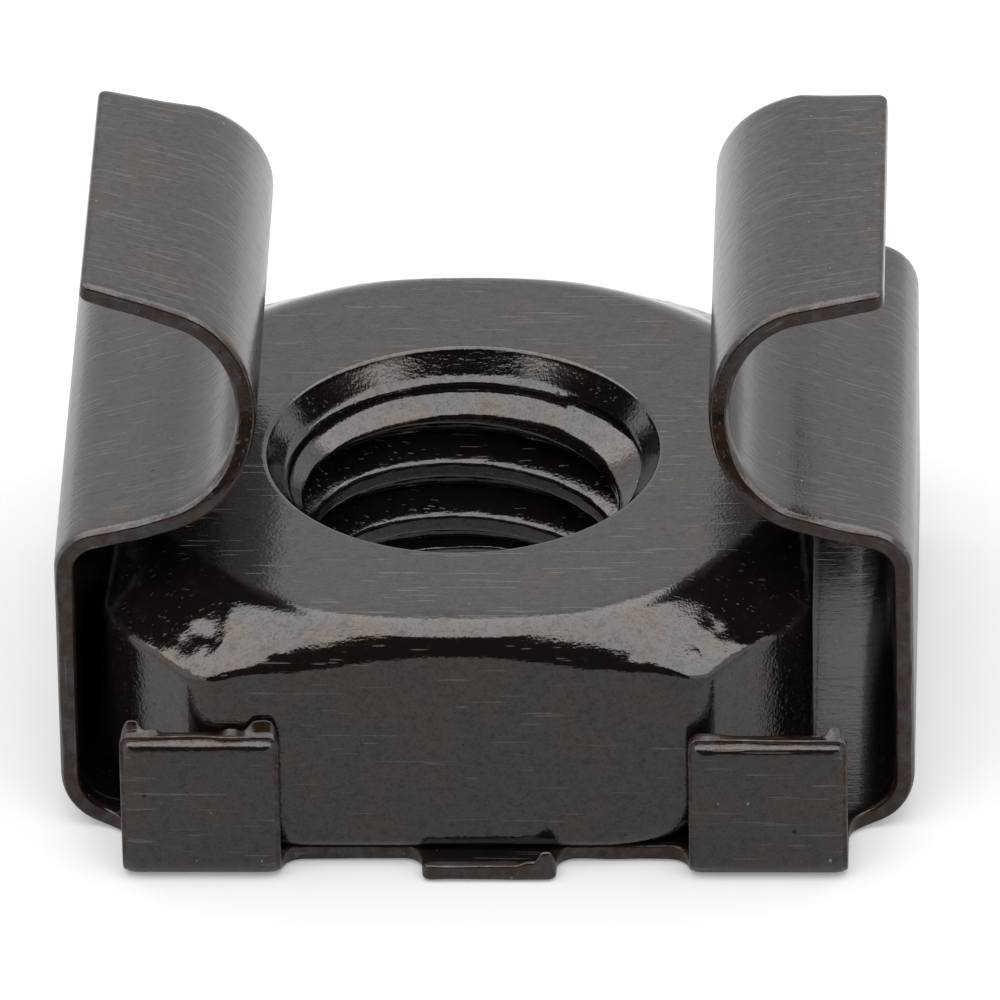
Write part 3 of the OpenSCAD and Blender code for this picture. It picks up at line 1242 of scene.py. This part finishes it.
@dataclass(frozen=True)
class OilBlack:
    """Oil-blackened steel: black magnetite under a thin film of oil, which shines like a dark lacquer.

    Sizes of patterns are in millimetres, and heights in micrometres. Ramps are start, end and top value.
    """

    name: str
    roughness: float
    # How much duller the dullest places are
    dulled: float = 1.6
    dull_from: tuple[float, float] = (0.3, 0.7)
    # Direction of the drawn or rolled lines, in degrees from X
    grain_angle: float = 0.0
    # Slow swells of the steel that bend the reflections
    swell: float = 0.9
    swell_height: float = 9.0
    # Drawn lines that fray the edges of the reflections, wider than real so that they show
    line: tuple[float, float] = (0.42, 0.07)
    line_height: float = 4.0
    # Fine grain of the phosphate under the oil
    grain: float = 0.05
    grain_height: float = 3.0
    scratch_depth: float = 1.5
    pit_depth: float = 1.5
    # Share of scratches and specks, 1 as on the worn cage
    wear: float = 1.0
    scratches: tuple[Scratches, ...] = (
        Scratches(84, 0.7, 0.03, 0.42),
        Scratches(-38, 0.6, 0.026, 0.1),
        Scratches(9, 0.9, 0.026, 0.1),
        Scratches(52, 0.5, 0.026, 0.1),
    )
    scratch_light: float = 0.12
    dust_specks: Specks = Specks(0.21, 0.036, 0.35)
    dust_light: float = 0.45
    pits: Specks = Specks(0.33, 0.06, 0.4)
    pit_dark: float = 0.85
    # Mottling of the black, as size of one patch, and its light film of dust
    mottle: float = 0.16
    bloom: tuple[float, float, float] = (0.62, 0.85, 0.05)
    # Where the shine darkens: over the mottle's low places, and over the low places of a finer grain
    mottle_dark: tuple[float, float, float] = (0.5, 0.25, 0.3)
    fine: float = 0.045
    fine_dark: tuple[float, float, float] = (0.5, 0.3, 0.3)
    # Patches over which the shine wanders between warm and cold
    tint_patch: float = 0.75
    tint_from: tuple[float, float] = (0.35, 0.65)
    # Torn part of a sheared edge: size of a patch, ramp, and how far its colour and its shine change
    torn_patch: float = 0.2
    torn_from: tuple[float, float] = (0.35, 0.6)
    torn_colour: float = 0.8
    torn_dark: float = 0.6
    colour: str = "#15110f"
    dust: str = "#9b968f"
    tint: str = "#fff3ea"
    cold_tint: str = "#f3f3f6"
    pit: str = "#6e6761"
    cut_colour: str = "#2c1d13"
    ior: float = 1.78
    field_name: str = ""

    def place(self, tree: Tree) -> Socket:
        """Where each pattern is read: on the flat blank for folded sheet, or in space.

        Args:
            tree: The material's node tree.

        Returns:
            The place.
        """
        if self.field_name:
            return add_node(tree, "ShaderNodeAttribute", attribute_name=self.field_name).outputs["Vector"]
        return add_node(tree, "ShaderNodeTexCoord").outputs["Object"]

    def relief(self, pattern: Pattern, scratched: Socket, pitted: Socket) -> Socket:
        """The small relief of the surface, from slow swells to fine grain.

        Args:
            pattern: The material's patterns.
            scratched: Where the scratches are.
            pitted: Where the pits are.

        Returns:
            The normal.
        """
        length, width = self.line
        lines = pattern.noise(width, 3.0, pattern.turned(-self.grain_angle, (width / length, 1.0, 1.0)))
        normal = pattern.bump(pattern.noise(self.swell), self.swell_height)
        normal = pattern.bump(lines, self.line_height, normal)
        normal = pattern.bump(pattern.noise(self.grain), self.grain_height, normal)
        normal = pattern.bump(pitted, -self.pit_depth, normal)
        return pattern.bump(scratched, -self.scratch_depth, normal)

    def make(self) -> bpy.types.Material:
        """Build the material.

        Returns:
            The new material.
        """
        material, shader = new_material(self.name)
        tree = material.node_tree
        pattern = Pattern(tree, self.place(tree))
        dust, pit = to_linear(self.dust), to_linear(self.pit)
        scratched, *more = (pattern.scratches(kind, self.grain_angle, self.wear) for kind in self.scratches)
        for other in more:
            scratched = pattern.combine("MAXIMUM", scratched, other)
        dusty = pattern.specks(self.dust_specks, self.wear)
        pitted = pattern.specks(self.pits, self.wear)
        mottle = pattern.noise(self.mottle, 3.0)
        fine = pattern.noise(self.fine, 1.0)
        # Scratches and dust show lighter than the black, because they scatter the light
        lit = pattern.combine("MULTIPLY", scratched, self.scratch_light)
        colour = pattern.mix(lit, to_linear(self.colour), dust)
        colour = pattern.mix(pattern.ramp(mottle, *self.bloom), colour, dust)
        colour = pattern.mix(pattern.combine("MULTIPLY", dusty, self.dust_light), colour, dust)
        # The film's shine wanders between warm and cold, and dulls over the pits
        wander = pattern.ramp(pattern.noise(self.tint_patch, 1.0), *self.tint_from)
        tint = pattern.mix(wander, to_linear(self.tint), to_linear(self.cold_tint))
        tint = pattern.mix(pattern.ramp(mottle, *self.mottle_dark), tint, pit)
        tint = pattern.mix(pattern.ramp(fine, *self.fine_dark), tint, pit)
        tint = pattern.mix(pattern.combine("MULTIPLY", pitted, self.pit_dark), tint, pit)
        if self.field_name:
            cut = add_node(tree, "ShaderNodeAttribute", attribute_name="cut").outputs["Fac"]
            patches = pattern.ramp(pattern.noise(self.torn_patch, 3.0), *self.torn_from)
            torn = pattern.combine("MULTIPLY", cut, patches)
            browned = pattern.combine("MULTIPLY", torn, self.torn_colour)
            colour = pattern.mix(browned, colour, to_linear(self.cut_colour))
            tint = pattern.mix(pattern.combine("MULTIPLY", torn, self.torn_dark), tint, pit)
        dull = pattern.ramp(mottle, *self.dull_from, self.roughness * self.dulled, self.roughness)
        tree.links.new(colour, shader.inputs["Base Color"])
        tree.links.new(tint, shader.inputs["Specular Tint"])
        tree.links.new(dull, shader.inputs["Roughness"])
        shader.inputs["IOR"].default_value = self.ior
        tree.links.new(self.relief(pattern, scratched, pitted), shader.inputs["Normal"])
        return material


# Studio


@dataclass(frozen=True)
class Camera:
    """Long lens at the height of a table-top product shot."""

    azimuth: float = 2.2305
    elevation: float = 31.3
    roll: float = -1.1499
    distance: float = 300.0
    focal: float = 678.15
    aim: tuple[float, float, float] = (0.1145, 0.0, 3.3356)
    sensor: float = 36.0
    clip_start: float = 10.0

    def build(self) -> Piece:
        """Place the camera round the object and make it the scene's own.

        Returns:
            The camera.
        """
        az, el, roll = (math.radians(a) for a in (self.azimuth, self.elevation, self.roll))
        back = Vector((math.sin(az) * math.cos(el), -math.cos(az) * math.cos(el), math.sin(el)))
        right = Vector((math.cos(az), math.sin(az), 0))
        up = back.cross(right)
        turned = math.cos(roll) * right + math.sin(roll) * up
        upright = math.cos(roll) * up - math.sin(roll) * right
        data = bpy.data.cameras.new("studio_camera")
        data.lens = self.focal
        data.sensor_width = self.sensor
        data.clip_start = self.clip_start * MM
        camera = bpy.data.objects.new("studio_camera", data)
        bpy.context.collection.objects.link(camera)
        axes = Matrix((turned, upright, back)).transposed().to_4x4()
        camera.matrix_world = Matrix.Translation((Vector(self.aim) + self.distance * back) * MM) @ axes
        bpy.context.scene.camera = camera
        return camera


@dataclass(frozen=True)
class Studio:
    """Pale floor in a white tent, with a soft lamp over the front and the tent's dark opening below it."""

    floor_size: float = 4000.0
    floor_gap: float = 0.01
    floor_colour: str = "#ececec"
    # What shiny steel sees of the floor: dimmer in front of the object, and lit from behind at its rear
    front_in_gloss: str = "#d2d2d2"
    gloss_fade: tuple[float, float] = (-12.0, 25.0)
    rear_glow: float = 0.35
    # Light of its own that the floor shows to the camera, so that it clips to white away from the object
    floor_glow: float = 0.2
    tent_light: float = 0.7
    # Bright panel overhead, as shiny steel sees it: height, half width, and how far to the front and rear
    panel_height: float = 500.0
    panel_half: float = 750.0
    panel_front: float = 500.0
    panel_rear: float = 430.0
    panel_white: float = 3.0
    # Soft lamp that lights the matt surfaces and makes the shadow
    lamp_elevation: float = 62.0
    lamp_distance: float = 500.0
    lamp_size: tuple[float, float] = (500.0, 300.0)
    lamp_white: float = 1.9
    opening_half: float = 160.0
    opening_height: float = 225.0
    opening_distance: float = 220.0
    opening_white: float = 0.004

    def floor(self) -> Piece:
        """Lay the floor: matt white board that clips to white but keeps the object's shadow.

        Returns:
            The floor.
        """
        half = self.floor_size / 2
        corners = np.array([(-half, -half, 0), (half, -half, 0), (half, half, 0), (-half, half, 0)])
        corners[:, 2] = -self.floor_gap
        floor = make_piece("studio_floor", corners, [(0, 1, 2, 3)])
        material, shader = new_material("matt white board")
        tree = material.node_tree
        path = add_node(tree, "ShaderNodeLightPath").outputs
        pattern = Pattern(tree, add_node(tree, "ShaderNodeTexCoord").outputs["Object"])
        y = add_node(tree, "ShaderNodeSeparateXYZ", {0: pattern.place}).outputs["Y"]
        rear = pattern.ramp(y, self.gloss_fade[0] * MM, self.gloss_fade[1] * MM)
        gloss = pattern.combine("MAXIMUM", path["Is Glossy Ray"], path["Is Transmission Ray"])
        mirrored = pattern.mix(rear, to_linear(self.front_in_gloss), WHITE)
        colour = pattern.mix(gloss, to_linear(self.floor_colour), mirrored)
        colour = pattern.mix(path["Is Camera Ray"], colour, WHITE)
        diffuse = add_node(tree, "ShaderNodeBsdfDiffuse", {"Color": colour})
        glow = pattern.combine("MULTIPLY", path["Is Camera Ray"], self.floor_glow)
        behind = pattern.combine("MULTIPLY", pattern.combine("MULTIPLY", gloss, rear), self.rear_glow)
        links = {"Color": WHITE, "Strength": pattern.combine("ADD", glow, behind)}
        light = add_node(tree, "ShaderNodeEmission", links)
        both = add_node(tree, "ShaderNodeAddShader", {0: diffuse.outputs[0], 1: light.outputs[0]})
        tree.nodes.remove(shader)
        tree.links.new(both.outputs[0], tree.nodes["Material Output"].inputs["Surface"])
        floor.data.materials.append(material)
        return floor

    def card(self, name: str, corners: list[tuple[float, float, float]], white: float) -> Piece:
        """A flat card seen only in shiny steel, with its own even brightness.

        Args:
            name: Name of the card.
            corners: Its four corners.
            white: Brightness, where 1 is the tent's white.

        Returns:
            The card.
        """
        card = make_piece(name, np.array(corners), [(0, 1, 2, 3)])
        material, shader = new_material(name)
        tree = material.node_tree
        light = add_node(tree, "ShaderNodeEmission", {"Color": WHITE, "Strength": white})
        tree.nodes.remove(shader)
        tree.links.new(light.outputs[0], tree.nodes["Material Output"].inputs["Surface"])
        card.data.materials.append(material)
        card.visible_camera = False
        card.visible_diffuse = False
        card.visible_shadow = False
        return card

    def cards(self) -> list[Piece]:
        """The bright panel overhead and the tent's dark opening low in front.

        Returns:
            The two cards.
        """
        half, height = self.panel_half, self.panel_height
        front, rear = -self.panel_front, self.panel_rear
        panel = [(-half, front, height), (-half, rear, height), (half, rear, height), (half, front, height)]
        half, y, height = self.opening_half, -self.opening_distance, self.opening_height
        opening = [(-half, y, 0), (half, y, 0), (half, y, height), (-half, y, height)]
        return [
            self.card("overhead_panel", panel, self.panel_white),
            self.card("tent_opening", opening, self.opening_white),
        ]

    def lamp(self) -> Piece:
        """The soft lamp over the front of the tent, which shiny steel doesn't see.

        Returns:
            The lamp.
        """
        width, depth = (side * MM for side in self.lamp_size)
        data = bpy.data.lights.new("front_softbox", "AREA")
        data.shape = "RECTANGLE"
        data.size, data.size_y = width, depth
        data.energy = self.lamp_white * math.pi * width * depth
        lamp = bpy.data.objects.new("front_softbox", data)
        bpy.context.collection.objects.link(lamp)
        rise = math.radians(self.lamp_elevation)
        towards = Vector((0, -math.cos(rise), math.sin(rise)))
        lamp.location = towards * self.lamp_distance * MM
        lamp.rotation_euler = towards.to_track_quat("Z", "Y").to_euler()
        lamp.visible_glossy = False
        return lamp

    def tent(self) -> None:
        """The tent's even light, white to the camera and in reflections."""
        world = bpy.data.worlds.new("tent")
        bpy.context.scene.world = world
        world.use_nodes = True
        tree = world.node_tree
        path = add_node(tree, "ShaderNodeLightPath").outputs
        seen = path["Is Camera Ray"]
        for ray in ("Is Glossy Ray", "Is Transmission Ray"):
            seen = add_node(tree, "ShaderNodeMath", {0: seen, 1: path[ray]}, operation="MAXIMUM").outputs[0]
        links = {0: seen, 2: self.tent_light, 3: 1.0}
        strength = add_node(tree, "ShaderNodeMix", links, data_type="FLOAT")
        tree.links.new(strength.outputs[0], tree.nodes["Background"].inputs["Strength"])
        tree.nodes["Background"].inputs["Color"].default_value = WHITE

    def build(self) -> list[Piece]:
        """Set up the studio.

        Returns:
            The pieces that belong to the studio and not to the object.
        """
        self.tent()
        self.lamp()
        return [self.floor(), *self.cards()]


def main() -> None:
    """Build the cage, the nut and the studio, in that order."""
    logging.basicConfig(level=logging.INFO, format="%(name)s: %(message)s")
    bpy.context.scene.view_settings.view_transform = "Standard"
    spring_cage, forged_nut = SpringCage(), ForgedNut()
    cage = spring_cage.mesh()
    spring_cage.dress(cage)
    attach(cage, "root")
    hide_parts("cage")
    nut = forged_nut.mesh()
    forged_nut.dress(nut)
    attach(nut, "root")
    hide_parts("nut")
    Camera().build()
    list(Studio().build())


if __name__ == "__main__":
    main()
